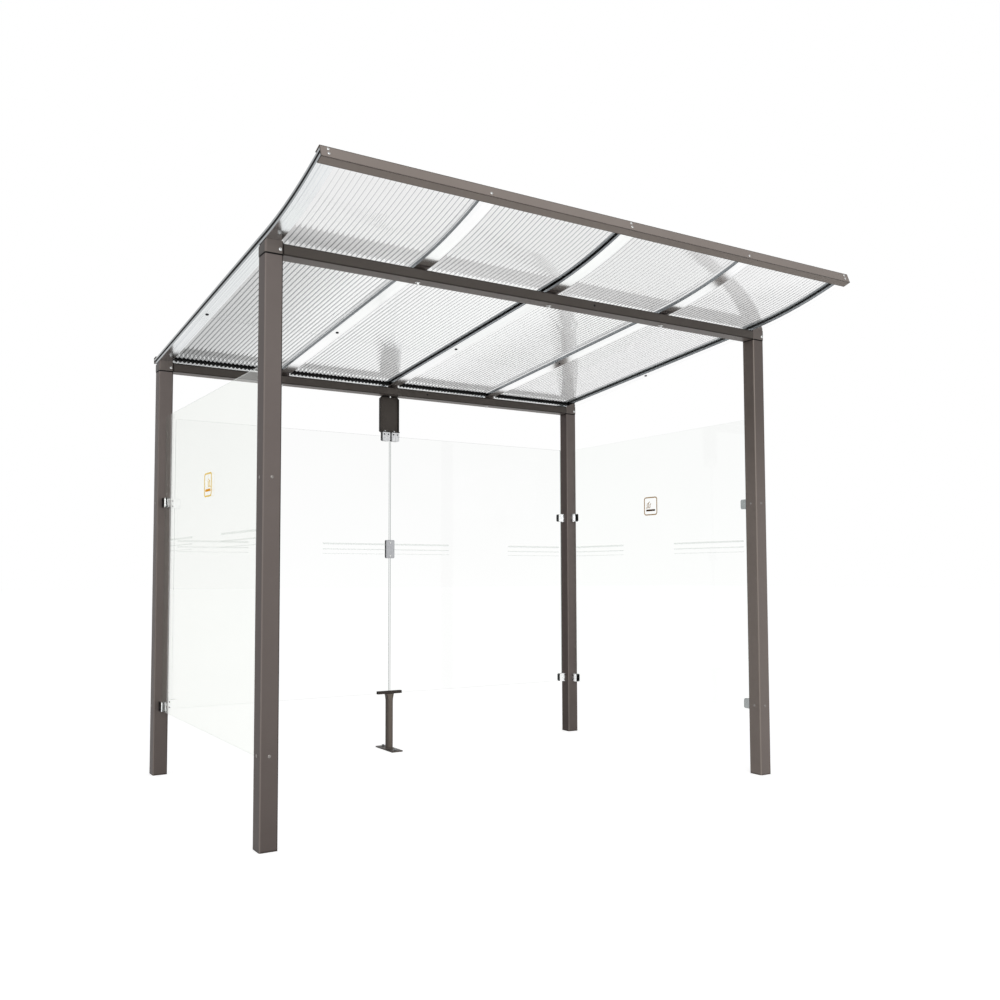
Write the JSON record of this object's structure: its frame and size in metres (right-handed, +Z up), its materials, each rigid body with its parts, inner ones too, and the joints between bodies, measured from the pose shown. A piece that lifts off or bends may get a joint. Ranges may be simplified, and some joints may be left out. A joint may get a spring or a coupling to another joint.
{
  "type": "smoking shelter",
  "caption": "Open-fronted outdoor shelter on square posts, with a bowed small-wave sheet roof and clear glass on the back and both ends.",
  "frame": {"origin": "on the floor, midway along the length and midway between the front and rear edges of the roof", "axes": "+Z up, +X along the length to the right as seen from the open front, -Y out of the open front"},
  "size_m": [3.004, 2.4511, 2.6962],
  "materials": {
    "frame_paint": "grey-brown powder coat, satin",
    "edge_paint": "grey-brown powder coat on aluminium, satin",
    "rafter_metal": "pale satin-anodised extrusion",
    "seal_rubber": "matt black extruded rubber",
    "roof_sheet": "translucent clear-to-white waved sheet, glossy",
    "clear_glass": "clear toughened glass, polished edges",
    "clamp_metal": "satin stainless steel"
  },
  "bodies": {
    "root": {"front_left_post": "frame_paint", "front_right_post": "frame_paint", "rear_left_post": "frame_paint", "rear_right_post": "frame_paint", "front_left_head": "frame_paint", "front_right_head": "frame_paint", "rear_left_head": "frame_paint", "rear_right_head": "frame_paint", "front_beam": "frame_paint", "rear_beam": "frame_paint", "left_rafter": "rafter_metal", "left_centre_rafter": "rafter_metal", "centre_rafter": "rafter_metal", "right_centre_rafter": "rafter_metal", "right_rafter": "rafter_metal", "left_seals": "seal_rubber", "centre_seals": "seal_rubber", "right_seals": "seal_rubber", "left_cap": "rafter_metal", "centre_cap": "rafter_metal", "right_cap": "rafter_metal", "left_roof_sheet": "roof_sheet", "right_roof_sheet": "roof_sheet", "front_edge": "edge_paint", "rear_edge": "edge_paint", "left_glass": "clear_glass", "right_glass": "clear_glass", "rear_left_glass": "clear_glass", "rear_right_glass": "clear_glass", "front_left_clamps": "clamp_metal", "front_right_clamps": "clamp_metal", "rear_left_end_clamps": "clamp_metal", "rear_right_end_clamps": "clamp_metal", "rear_left_clamps": "clamp_metal", "rear_right_clamps": "clamp_metal", "upper_left_clamp": "clamp_metal", "upper_right_clamp": "clamp_metal", "hanging_bracket": "frame_paint", "joint_plate": "clamp_metal", "glass_shoe": "frame_paint", "centre_foot": "frame_paint"}
  },
  "joints": []
}
